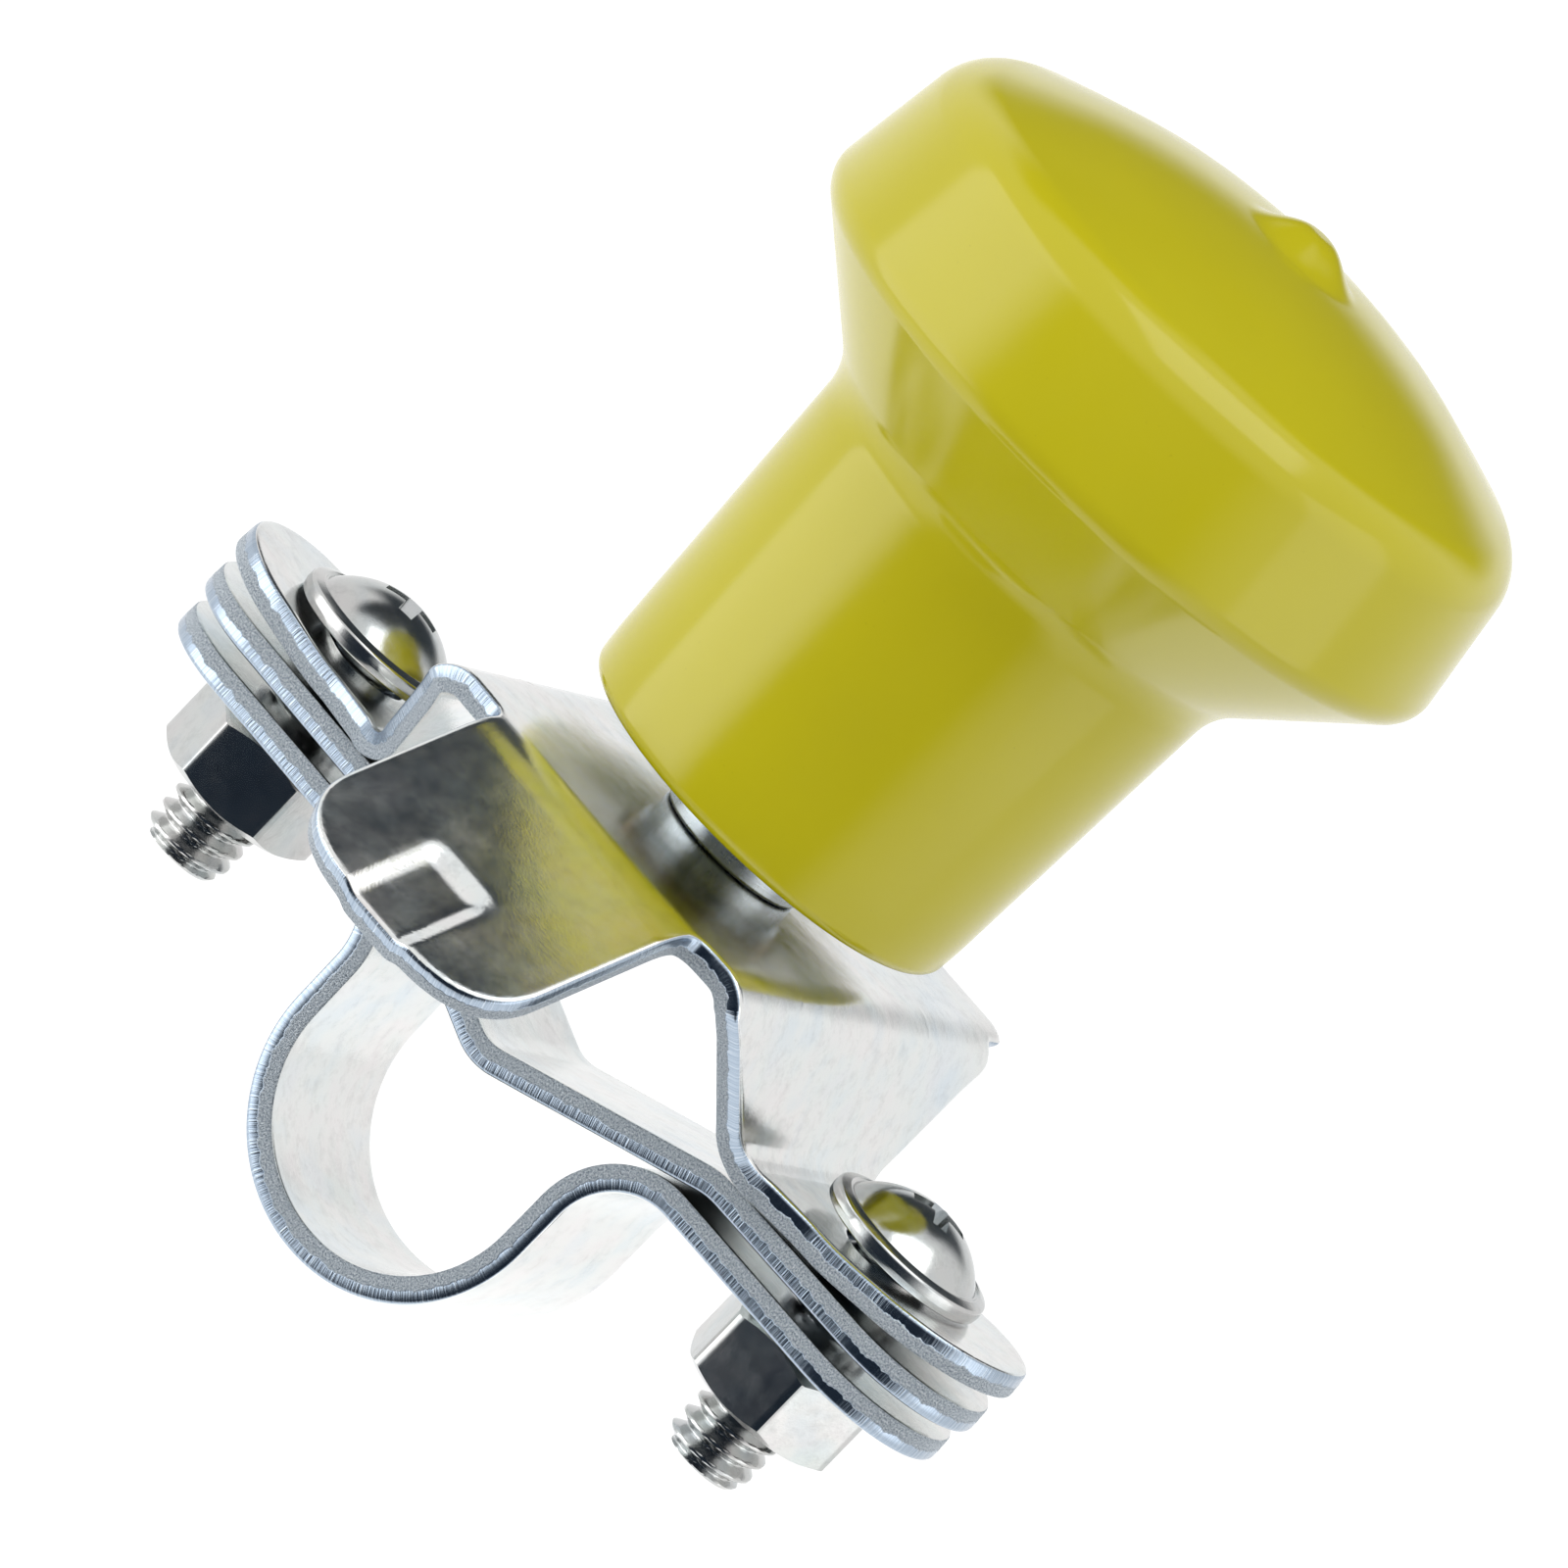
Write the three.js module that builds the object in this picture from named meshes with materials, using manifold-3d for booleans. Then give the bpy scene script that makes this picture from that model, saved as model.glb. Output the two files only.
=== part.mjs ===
// Clamp-on steering-wheel spinner knob.
// Units are millimetres. +Z is the knob's spin axis, +X runs from one clamp screw to the other,
// +Y is the axis of the wheel rim that the clamp grips. The origin is the centre of the rim opening.
import * as THREE from "three";
import Module from "manifold-3d";

const wasm = await Module();
wasm.setup();

// ---------------------------------------------------------------- driving dimensions
const GAP = 0.3;              // air left between pieces that touch on the real object

// clamp sheets
const SHEET = 1.9;            // sheet steel thickness (14 gauge)
const STRIP_W = 15.2;         // width of the clamp strips
const MOUTH = 15.4;           // height of the rim opening, jaw to jaw
const LOOP_W = 19.5;          // inside width of the lower jaw's loop
const HUMP_R = 6.2;           // bend from the loop's wall into an ear
const NUT_ROOM = 4.19;        // from the end of that bend to the nearest corner of a nut
const EAR_BEYOND = 11.4;      // ear end beyond the screw axis
const EAR_RISE = 0.15;        // lift of the lower jaw's ear ends

// upper jaw
const VEE_RISE = 6.0;         // depth of the vee below the ears
const VEE_BEYOND = 0.9;       // from the end of the hump to the foot of the vee
const VEE_R = 4.0;            // bend at the bottom of the vee
const VEE_FOOT_R = 6.0;       // bend between the vee and an ear
const JAW_EAR_RISE = 0.3;     // lift of the upper jaw's ear ends

// bracket
const HAT_H = 10.2;           // top of the plate above the top of the ears
const PLATE_FRONT = 20.4;     // plate edge towards the tab
const PLATE_BACK = 22.2;      // plate edge away from the tab
const PLATE_BEND_R = 2.4;     // bend between plate and riser
const RISER_LEAN = 3.8;       // run of a riser from the plate's bend line to the ear's
const RISER_ROOM = 2.85;      // from a riser's foot to the edge of a screw head
const RISER_FOOT_R = 3.1;     // bend between riser and ear
const RISER_HALF_TOP = 20.0;  // half width of a riser at the plate
const RISER_FLARE = 0.8;      // a riser's half width at its ear, beyond the strip's
const EAR_LIFT_IN = 0.9;      // the ear starts to lift this far inside the screw axis
const EAR_LIFT = 1.65;        // lift of the bracket's ear ends
const EAR_LIFT_R = 24;        // bend where the lift starts

// thumb tab on the front edge of the plate
const TAB_W = 19.8;
const TAB_SLOPE = 33;         // degrees below the plate
const TAB_LENGTH = 18.4;      // from the bend line, along the tab
const TAB_ROUND = 6.4;        // length of the rounded end
const TAB_BEND_R = 7.0;
const TAB_X = 0.4;            // the tab sits slightly off centre
const RIB_W = 5.2;            // channel pressed into the tab's end
const RIB_LENGTH = 7.6;
const RIB_DEPTH = 0.9;

// knob, from its base to its nub
const KNOB_LIFT = 3.2;        // knob base above the plate
const KNOB_BASE_R = 14.7;
const KNOB_NECK_R = 16.3;
const KNOB_HEAD_R = 25.75;    // before the edge is rounded
const KNOB_CROWN_R = 24.15;
const KNOB_EDGE_R = 19.6;     // rim of the shallow dome
const KNOB_STEM_H = 25.6;
const KNOB_FLARE_H = 8.5;
const KNOB_BAND_H = 10.8;
const KNOB_EDGE_H = 2.2;
const KNOB_DOME_H = 3.7;
const NUB_R = 3.4;
const NUB_H = 1.7;

// spindle, washer, bushing and retaining ring
const JOURNAL_R = 4.0;
const TENON_STEP = 0.8;       // the riveted end is thinner than the journal by this
const RIVET_RIM = 2.2;        // riveted head beyond the tenon
const RIVET_H = 1.7;
const SHOULDER_RIM = 1.5;     // shoulder beyond the journal
const WASHER_T = 0.9;
const WASHER_RIM = 1.9;       // washer beyond the journal
const BUSH_WALL = 1.9;
const BUSH_L = 15.0;
const RING_T = 1.0;
const RING_RIM = 1.8;         // retaining ring beyond the journal
const RING_MOUTH = 4.6;       // opening of the retaining ring
const GROOVE_DEPTH = 0.9;
const SPINDLE_END = 2.2;      // spindle above the retaining ring
const BORE_ROOM = 1.6;        // blind bore above the spindle

// screws and nuts, 1/4-20 UNC by 3/4 inch
const THREAD_D = 6.3;
const PITCH = 1.27;
const THREAD_DEPTH = 0.72;
const THREAD_ABOVE = 1.5;     // thread above the nut
const SCREW_L = 19.05;
const HEAD_R = 6.35;
const HEAD_H = 3.9;
const HEAD_RIM = 1.5;         // height of the head's upright rim
const HEAD_ROUND = 0.35;
const RECESS_W = 7.0;         // cross recess: width at the top, at the bottom, depth and blade
const RECESS_TIP = 3.0;
const RECESS_DEPTH = 2.4;
const RECESS_BLADE = 1.3;
const RECESS_TURN = 0.5;      // radians
const NUT_AF = 11.1;
const NUT_T = 5.5;
const NUT_CHAMFER = 0.62;
const HOLE_ROOM = 0.35;       // screw hole beyond the thread

// ---------------------------------------------------------------- what follows from them
const HALF = SHEET / 2;
const nutCorner = NUT_AF / Math.sqrt(3);
const loopR = LOOP_W / 2 + HALF;                    // centre line of the loop
const humpEndX = loopR + HUMP_R;
const screwX = humpEndX + NUT_ROOM + nutCorner;
const earEndX = screwX + EAR_BEYOND;
const earR = STRIP_W / 2;
const holeR = THREAD_D / 2 + HOLE_ROOM;

const veeFootX = humpEndX + VEE_BEYOND;
const veeSlope = Math.atan2(VEE_RISE, veeFootX);
const veeZ = MOUTH / 2;                             // lower face of the vee at its bottom
const loopZ = -MOUTH / 2 - HALF;                    // centre line at the loop's bottom
const upperEarZ = veeZ + HALF + VEE_RISE;           // centre line of the upper jaw's ears

// As set up, the humps of the lower jaw lie just clear of the vee's flanks.
const flankZ = upperEarZ - VEE_BEYOND * Math.tan(veeSlope);
const lowerEarZ = flankZ + HUMP_R - (HUMP_R + SHEET + GAP) / Math.cos(veeSlope);

const bracketEarZ = upperEarZ + SHEET + GAP;        // centre line of the bracket's ears
const plateTopZ = bracketEarZ + HALF + HAT_H;
const plateZ = plateTopZ - HALF;
const riserFootX = screwX - HEAD_R - RISER_ROOM;
const plateHalfX = riserFootX - RISER_LEAN;
const riserHalfFoot = earR + RISER_FLARE;

// The heads sit on the outer, lifted half of the bracket's ears.
const liftX = screwX - EAR_LIFT_IN;
const seatLift = (EAR_LIFT * (screwX + HEAD_R - HEAD_ROUND - liftX)) / (earEndX - liftX);
const headZ = bracketEarZ + HALF + seatLift + GAP;
const tipZ = headZ - SCREW_L;
const nutTopZ = lowerEarZ - HALF - GAP;

const knobZ = plateTopZ + KNOB_LIFT;
const bushR = JOURNAL_R + GAP + BUSH_WALL;
const boreR = bushR + GAP;
const tenonR = JOURNAL_R - TENON_STEP;
const rivetR = tenonR + RIVET_RIM;
const shoulderR = JOURNAL_R + SHOULDER_RIM;
const grooveR = JOURNAL_R - GROOVE_DEPTH;
const ringZ = knobZ + BUSH_L + GAP;
const spindleTop = ringZ + RING_T + SPINDLE_END;

// ---------------------------------------------------------------- mesh helpers
// Closed THREE geometry to a manifold solid.
function solid(geometry) {
  const g = geometry.index ? geometry.toNonIndexed() : geometry;
  const source = g.attributes.position.array;
  const keys = new Map();
  const verts = [];
  const tris = [];
  for (let i = 0; i < source.length; i += 9) {
    const ids = [0, 3, 6].map((k) => {
      const p = [source[i + k], source[i + k + 1], source[i + k + 2]];
      const key = p.map((v) => Math.round(v * 1e4)).join("_");
      if (!keys.has(key)) {
        keys.set(key, verts.length / 3);
        verts.push(...p);
      }
      return keys.get(key);
    });
    if (ids[0] !== ids[1] && ids[1] !== ids[2] && ids[2] !== ids[0]) tris.push(...ids);
  }
  return new wasm.Manifold(new wasm.Mesh({
    numProp: 3,
    vertProperties: new Float32Array(verts),
    triVerts: new Uint32Array(tris),
  }));
}

// Manifold solid to a flat-shaded THREE geometry.
function geometryOf(body) {
  const mesh = body.getMesh();
  const g = new THREE.BufferGeometry();
  g.setAttribute("position", new THREE.BufferAttribute(new Float32Array(mesh.vertProperties), 3));
  g.setIndex(new THREE.BufferAttribute(new Uint32Array(mesh.triVerts), 1));
  const flat = g.toNonIndexed();
  flat.computeVertexNormals();
  return flat;
}

const vec = (x, y) => new THREE.Vector2(x, y);

// Polyline through corners [x, y, radius], each corner rounded by an arc of that radius.
function roundedPath(corners, step = 12) {
  const out = [];
  corners.forEach(([x, y, r], i) => {
    const p = vec(x, y);
    if (i === 0 || i === corners.length - 1 || !r) {
      out.push(p);
      return;
    }
    const a = vec(corners[i - 1][0], corners[i - 1][1]).sub(p).normalize();
    const b = vec(corners[i + 1][0], corners[i + 1][1]).sub(p).normalize();
    const half = Math.acos(THREE.MathUtils.clamp(a.dot(b), -1, 1)) / 2;
    const reach = r / Math.tan(half);
    const centre = p.clone().addScaledVector(a.clone().add(b).normalize(), r / Math.sin(half));
    const from = p.clone().addScaledVector(a, reach).sub(centre);
    const to = p.clone().addScaledVector(b, reach).sub(centre);
    let turn = Math.atan2(to.y, to.x) - Math.atan2(from.y, from.x);
    if (turn > Math.PI) turn -= 2 * Math.PI;
    if (turn < -Math.PI) turn += 2 * Math.PI;
    const n = Math.max(2, Math.ceil(Math.abs(turn) / THREE.MathUtils.degToRad(step)));
    for (let k = 0; k <= n; k += 1) {
      out.push(from.clone().rotateAround(vec(0, 0), (turn * k) / n).add(centre));
    }
  });
  return out;
}

// Outline of a sheet of thickness t whose centre line is the path.
function thicken(path, t) {
  const left = [];
  const right = [];
  path.forEach((p, i) => {
    const before = path[Math.max(i - 1, 0)];
    const after = path[Math.min(i + 1, path.length - 1)];
    const d1 = p.clone().sub(before);
    const d2 = after.clone().sub(p);
    if (i === 0) d1.copy(d2);
    if (i === path.length - 1) d2.copy(d1);
    const m = d1.normalize().add(d2.normalize()).normalize();
    const n = vec(-m.y, m.x);
    const stretch = 1 / Math.max(0.5, m.dot(d2));
    left.push(p.clone().addScaledVector(n, (t / 2) * stretch));
    right.push(p.clone().addScaledVector(n, (-t / 2) * stretch));
  });
  return left.concat(right.reverse());
}

// Prism standing on an outline: "z" outline is x-y, "y" outline is x-z, "x" outline is y-z.
function prism(points, axis, from, to) {
  const g = new THREE.ExtrudeGeometry(new THREE.Shape(points), {
    depth: to - from,
    bevelEnabled: false,
    steps: 1,
  });
  g.translate(0, 0, axis === "y" ? -to : from);
  if (axis === "y") g.applyMatrix4(new THREE.Matrix4().set(
    1, 0, 0, 0,
    0, 0, -1, 0,
    0, 1, 0, 0,
    0, 0, 0, 1,
  ));
  if (axis === "x") g.applyMatrix4(new THREE.Matrix4().set(
    0, 0, 1, 0,
    1, 0, 0, 0,
    0, 1, 0, 0,
    0, 0, 0, 1,
  ));
  return solid(g);
}

// Solid of revolution about the vertical line through (x, y); profile is [radius, z] from axis to axis.
function turned(profile, x = 0, y = 0, segments = 40) {
  const g = new THREE.LatheGeometry(profile.map(([r, z]) => vec(r, z)), segments);
  g.rotateX(Math.PI / 2);
  g.translate(x, y, 0);
  return outward(solid(g));
}

// Ring of revolution; the profile closes on itself.
function turnedRing(profile, x = 0, y = 0, segments = 40) {
  return turned(profile.concat([profile[0]]), x, y, segments);
}

// Lathe profiles may wind either way; keep the solid with its faces outward.
function outward(body) {
  if (body.volume() > 0) return body;
  const m = body.getMesh();
  const tris = new Uint32Array(m.triVerts);
  for (let i = 0; i < tris.length; i += 3) [tris[i], tris[i + 1]] = [tris[i + 1], tris[i]];
  return new wasm.Manifold(new wasm.Mesh({
    numProp: 3,
    vertProperties: new Float32Array(m.vertProperties),
    triVerts: tris,
  }));
}

// Plain round drill along Z.
function drill(x, y, r, from, to, segments = 32) {
  return turned([[0, from], [r, from], [r, to], [0, to]], x, y, segments);
}

function box(x0, x1, y0, y1, z0, z1) {
  return prism([vec(x0, y0), vec(x1, y0), vec(x1, y1), vec(x0, y1)], "z", z0, z1);
}

// The right half of a path, mirrored and joined into the whole.
function mirrored(right) {
  const left = right.map(([x, z, r]) => [-x, z, r]);
  const tail = right.slice().reverse();
  return left.concat(tail[0][0] === 0 ? tail.slice(1) : tail);
}

// Plan outline of a strip with round ends.
function stripOutline(halfWidth, endX, waist = []) {
  const centre = endX - halfWidth;
  const quarter = [];
  for (let k = 0; k <= 10; k += 1) {
    const a = (Math.PI / 2) * (k / 10);
    quarter.push([centre + halfWidth * Math.cos(a), halfWidth * Math.sin(a)]);
  }
  const back = quarter.concat(waist);
  const right = back.slice().reverse().map(([x, y]) => [x, -y]).concat(back.slice(1));
  const left = right.map(([x, y]) => [-x, -y]);
  return right.concat(left).map(([x, y]) => vec(x, y));
}

// Both clearance holes in a sheet.
function screwHoles(body) {
  return [-screwX, screwX].reduce(
    (b, x) => b.subtract(drill(x, 0, holeR, lowerEarZ - 5, headZ + 5)),
    body,
  );
}

// ---------------------------------------------------------------- clamp sheets
function upperJaw() {
  const veeCentre = veeZ + HALF / Math.cos(veeSlope) - VEE_R * (1 / Math.cos(veeSlope) - 1);
  const path = roundedPath(mirrored([
    [earEndX, upperEarZ + JAW_EAR_RISE],
    [veeFootX, upperEarZ, VEE_FOOT_R],
    [0, veeCentre, VEE_R],
  ]), 5);
  const strip = prism(thicken(path, SHEET), "y", -earR - 1, earR + 1);
  const outline = stripOutline(earR, earEndX - GAP);
  return screwHoles(strip.intersect(prism(outline, "z", veeZ - 5, bracketEarZ + 5)));
}

function lowerJaw() {
  const wallX = loopR + 0.15;
  const path = roundedPath(mirrored([
    [earEndX, lowerEarZ + EAR_RISE],
    [wallX, lowerEarZ, HUMP_R],
    [loopR, loopZ, loopR],
  ]), 8);
  const strip = prism(thicken(path, SHEET), "y", -earR - 1, earR + 1);
  const outline = stripOutline(earR, earEndX - 0.8);
  return screwHoles(strip.intersect(prism(outline, "z", loopZ - 5, upperEarZ + 5)));
}

// Thumb tab: bent strip from the plate, then a flat round-ended blade with a pressed channel.
function tab() {
  const slope = THREE.MathUtils.degToRad(TAB_SLOPE);
  const reach = TAB_BEND_R * Math.tan(slope / 2);
  const bendY = -PLATE_FRONT - reach;
  const inner = roundedPath([
    [-PLATE_FRONT + 6, plateZ],
    [bendY, plateZ, TAB_BEND_R],
    [bendY - (reach + 1) * Math.cos(slope), plateZ - (reach + 1) * Math.sin(slope)],
  ], 4);
  const root = prism(thicken(inner, SHEET), "x", TAB_X - TAB_W / 2, TAB_X + TAB_W / 2);

  const half = TAB_W / 2;
  const end = TAB_LENGTH;
  const outline = [];
  for (let k = 0; k <= 24; k += 1) {
    const a = (Math.PI * k) / 24;
    const c = Math.cos(a);
    const s = Math.sin(a);
    outline.push([half * Math.sign(c) * Math.abs(c) ** 0.62, end - TAB_ROUND + TAB_ROUND * s ** 0.86]);
  }
  const blade = (points, z0, z1) => {
    const g = new THREE.ExtrudeGeometry(
      new THREE.Shape(points.map(([x, s]) => vec(x, s))),
      { depth: z1 - z0, bevelEnabled: false },
    );
    g.translate(0, 0, z0);
    // local x stays x, local y runs down the tab, local z is the tab's upper normal
    g.rotateZ(Math.PI);
    g.rotateX(slope);
    g.translate(TAB_X, bendY, plateZ);
    return solid(g);
  };
  const flat = outline.concat([[-half, reach], [half, reach]]);
  const rib = (w, l, z0, z1) => blade(
    [[-w / 2, end - l], [w / 2, end - l], [w / 2, end + 2], [-w / 2, end + 2]],
    z0,
    z1,
  );
  const limit = blade(flat, -HALF - RIB_DEPTH - 0.5, HALF);
  const bump = rib(RIB_W + 1.6, RIB_LENGTH + 0.8, -HALF - RIB_DEPTH, 0).intersect(limit);
  return root
    .add(blade(flat, -HALF, HALF))
    .add(bump)
    .subtract(rib(RIB_W, RIB_LENGTH, HALF - RIB_DEPTH, HALF + 1));
}

function bracket() {
  const path = roundedPath(mirrored([
    [earEndX, bracketEarZ + EAR_LIFT],
    [liftX, bracketEarZ + 0.05, EAR_LIFT_R],
    [riserFootX, bracketEarZ, RISER_FOOT_R],
    [plateHalfX, plateZ, PLATE_BEND_R],
  ]), 8);
  const hat = prism(thicken(path, SHEET), "y", -PLATE_FRONT, PLATE_BACK);

  // Side view limits the risers, which narrow from the plate down to the ears.
  const footZ = bracketEarZ + HALF + 0.8;
  const sill = plateZ - HALF - 0.1;
  const flank = [
    [riserHalfFoot, 0], [riserHalfFoot, footZ], [riserHalfFoot + 1.6, footZ + 1.2],
    [RISER_HALF_TOP - 1.6, sill - 0.7], [RISER_HALF_TOP, sill],
  ];
  const above = plateTopZ + 5;
  const side = flank.map(([y, z]) => vec(y, z))
    .concat([vec(PLATE_BACK + 1, sill), vec(PLATE_BACK + 1, above), vec(-PLATE_FRONT - 1, above)])
    .concat([vec(-PLATE_FRONT - 1, sill)])
    .concat(flank.slice().reverse().map(([y, z]) => vec(-y, z)));

  // Plan view limits the ears and notches the plate's corners.
  const lip = plateHalfX + 0.2;
  const riserOut = screwX - HEAD_R - 0.55;
  const waist = [
    [riserOut + 3.9, earR], [riserOut + 0.9, riserHalfFoot], [riserOut, RISER_HALF_TOP],
    [lip, RISER_HALF_TOP], [lip, PLATE_BACK + 1],
  ];
  const plan = prism(stripOutline(earR, earEndX, waist), "z", 0, above);
  const ears = hat.intersect(prism(side, "x", -earEndX - 5, earEndX + 5)).intersect(plan);
  const stem = drill(0, 0, tenonR + GAP, plateZ - 5, above);
  return screwHoles(ears.add(tab()).subtract(stem));
}

// ---------------------------------------------------------------- knob and its bearing
function knob() {
  const headZ0 = KNOB_STEM_H + KNOB_FLARE_H;
  const crownZ = headZ0 + KNOB_BAND_H;
  const edgeZ = crownZ + KNOB_EDGE_H;
  const outer = roundedPath([
    [0, 0], [KNOB_BASE_R, 0, 1.1], [KNOB_NECK_R, KNOB_STEM_H, 3.4],
    [KNOB_HEAD_R, headZ0, 1.8], [KNOB_CROWN_R, crownZ, 2.2], [KNOB_EDGE_R, edgeZ],
  ], 18).map((p) => [p.x, p.y]);

  // Shallow spherical dome, then the nub with a filleted foot.
  const R = (KNOB_EDGE_R ** 2 + KNOB_DOME_H ** 2) / (2 * KNOB_DOME_H);
  const domeAt = (r) => edgeZ + KNOB_DOME_H - R + Math.sqrt(R * R - r * r);
  const dome = [0.79, 0.59, 0.38].map((f) => [KNOB_EDGE_R * f, domeAt(KNOB_EDGE_R * f)]);
  const foot = NUB_R + 1.2;
  const footZ = domeAt(foot);
  const nub = [
    [foot, footZ], [NUB_R, footZ + 0.28], [NUB_R - 0.7, footZ + NUB_H * 0.5],
    [NUB_R - 1.5, footZ + NUB_H * 0.86], [NUB_R - 2.4, footZ + NUB_H], [0, footZ + NUB_H + 0.1],
  ];
  const body = turned(outer.concat(dome, nub), 0, 0, 48).translate([0, 0, knobZ]);
  const boreTop = spindleTop + BORE_ROOM;
  return body.subtract(turned([
    [0, knobZ - 1], [boreR, knobZ - 1], [boreR, boreTop - 2], [boreR - 2.5, boreTop], [0, boreTop],
  ], 0, 0, 32));
}

function spindle() {
  const rivetTop = plateTopZ - SHEET - GAP;
  const rivetZ = rivetTop - RIVET_H;
  const shoulderZ = plateTopZ + GAP;
  const shoulderTop = knobZ - 2 * GAP - WASHER_T;
  const grooveZ = ringZ - 0.05;
  const grooveTop = ringZ + RING_T + 0.05;
  return turned([
    [0, rivetZ], [rivetR - 2.4, rivetZ], [rivetR - 0.9, rivetZ + 0.4], [rivetR, rivetTop - 0.6],
    [rivetR, rivetTop], [tenonR, rivetTop], [tenonR, shoulderZ], [shoulderR, shoulderZ],
    [shoulderR, shoulderTop], [JOURNAL_R, shoulderTop], [JOURNAL_R, grooveZ], [grooveR, grooveZ],
    [grooveR, grooveTop], [JOURNAL_R, grooveTop], [JOURNAL_R, spindleTop - 0.8],
    [JOURNAL_R - 0.8, spindleTop], [0, spindleTop],
  ], 0, 0, 32);
}

function thrustWasher() {
  const top = knobZ - GAP;
  const ri = JOURNAL_R + GAP;
  const ro = JOURNAL_R + WASHER_RIM;
  return turnedRing([[ri, top - WASHER_T], [ro, top - WASHER_T], [ro, top], [ri, top]]);
}

function bushing() {
  const ri = JOURNAL_R + GAP;
  const top = knobZ + BUSH_L;
  return turnedRing([
    [ri, knobZ], [bushR - 0.4, knobZ], [bushR, knobZ + 0.4],
    [bushR, top - 0.4], [bushR - 0.4, top], [ri, top],
  ]);
}

function retainingRing() {
  const ri = grooveR + GAP;
  const ro = JOURNAL_R + RING_RIM;
  const bottom = ringZ + GAP * 0.5;
  const top = ringZ + RING_T - GAP * 0.5;
  const ring = turnedRing([[ri, bottom], [ro, bottom], [ro, top], [ri, top]], 0, 0, 48);
  return ring.subtract(box(-RING_MOUTH / 2, RING_MOUTH / 2, 0, ro + 2, bottom - 1, top + 1));
}

// ---------------------------------------------------------------- screws and nuts
// Threaded rod as one height-field surface, so the helix runs out cleanly at both ends.
function threadedRod(z0, z1) {
  const around = 16;
  const rows = Math.round((z1 - z0) / (PITCH / 5));
  const major = THREAD_D / 2;
  const radius = (a, z) => {
    const phase = (((z - z0) / PITCH - a / (2 * Math.PI)) % 1 + 1) % 1;
    const tooth = Math.min(1, Math.max(0, Math.abs(phase - 0.5) * 2 * 1.5 - 0.2));
    const lead = Math.min(1, (z - z0) / (PITCH * 0.9));
    const cut = THREAD_DEPTH * (1 - tooth);
    return Math.min(major - cut, major - THREAD_DEPTH * (1 - lead));
  };
  const verts = [0, 0, z0];
  for (let i = 0; i <= rows; i += 1) {
    const z = z0 + ((z1 - z0) * i) / rows;
    for (let k = 0; k < around; k += 1) {
      const a = (2 * Math.PI * k) / around;
      const r = radius(a, z);
      verts.push(r * Math.cos(a), r * Math.sin(a), z);
    }
  }
  verts.push(0, 0, z1);
  const last = verts.length / 3 - 1;
  const at = (i, k) => 1 + i * around + (k % around);
  const tris = [];
  for (let k = 0; k < around; k += 1) {
    tris.push(0, at(0, k + 1), at(0, k));
    tris.push(last, at(rows, k), at(rows, k + 1));
    for (let i = 0; i < rows; i += 1) {
      tris.push(at(i, k), at(i, k + 1), at(i + 1, k + 1));
      tris.push(at(i, k), at(i + 1, k + 1), at(i + 1, k));
    }
  }
  return new wasm.Manifold(new wasm.Mesh({
    numProp: 3,
    vertProperties: new Float32Array(verts),
    triVerts: new Uint32Array(tris),
  }));
}

function screw(x) {
  const shankR = THREAD_D / 2;
  const threadTop = nutTopZ + THREAD_ABOVE;
  const crownR = HEAD_R - HEAD_ROUND;
  const rise = HEAD_H - HEAD_RIM;
  const R = (crownR ** 2 + rise ** 2) / (2 * rise);
  const crown = [1, 0.85, 0.68, 0.5, 0.3].map((f) => {
    const r = crownR * f;
    return [r, headZ + HEAD_H - R + Math.sqrt(R * R - r * r)];
  });
  const head = turned([
    [0, threadTop - 0.2], [shankR, threadTop - 0.2], [shankR, headZ], [crownR, headZ],
    [HEAD_R, headZ + HEAD_ROUND], [HEAD_R, headZ + HEAD_RIM - HEAD_ROUND],
    ...crown, [0, headZ + HEAD_H],
  ], 0, 0, 40);
  const slot = (turn) => {
    const g = new THREE.ExtrudeGeometry(new THREE.Shape([
      vec(-RECESS_TIP / 2, 0), vec(RECESS_TIP / 2, 0),
      vec(RECESS_W / 2, RECESS_DEPTH + 1), vec(-RECESS_W / 2, RECESS_DEPTH + 1),
    ]), { depth: RECESS_BLADE, bevelEnabled: false });
    g.translate(0, 0, -RECESS_BLADE / 2);
    g.rotateX(Math.PI / 2);
    g.translate(0, 0, headZ + HEAD_H - RECESS_DEPTH);
    g.rotateZ(turn);
    return solid(g);
  };
  const rod = threadedRod(tipZ, threadTop);
  const whole = head.add(rod).subtract(slot(RECESS_TURN)).subtract(slot(RECESS_TURN + Math.PI / 2));
  return whole.translate([x, 0, 0]);
}

function nut(x, turn) {
  const hex = [];
  for (let k = 0; k < 6; k += 1) {
    const a = turn + (Math.PI / 3) * k;
    hex.push(vec(x + nutCorner * Math.cos(a), nutCorner * Math.sin(a)));
  }
  const z1 = nutTopZ;
  const z0 = z1 - NUT_T;
  const flat = NUT_AF / 2 - 0.15;
  const full = nutCorner + 0.05;
  const cone = turned([
    [0, z0], [flat, z0], [full, z0 + NUT_CHAMFER], [full, z1 - NUT_CHAMFER], [flat, z1], [0, z1],
  ], x, 0, 48);
  const bore = drill(x, 0, THREAD_D / 2 + GAP, z0 - 1, z1 + 1, 28);
  return prism(hex, "z", z0, z1).intersect(cone).subtract(bore);
}

// ---------------------------------------------------------------- assembly
const steel = { color: 0xc9ced2, roughness: 0.28, metalness: 1 };
const bright = { color: 0xd3d8da, roughness: 0.18, metalness: 1 };
const brass = { color: 0xb9a06a, roughness: 0.35, metalness: 1 };
const plastic = { color: 0xb8ad14, roughness: 0.12, metalness: 0 };

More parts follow.
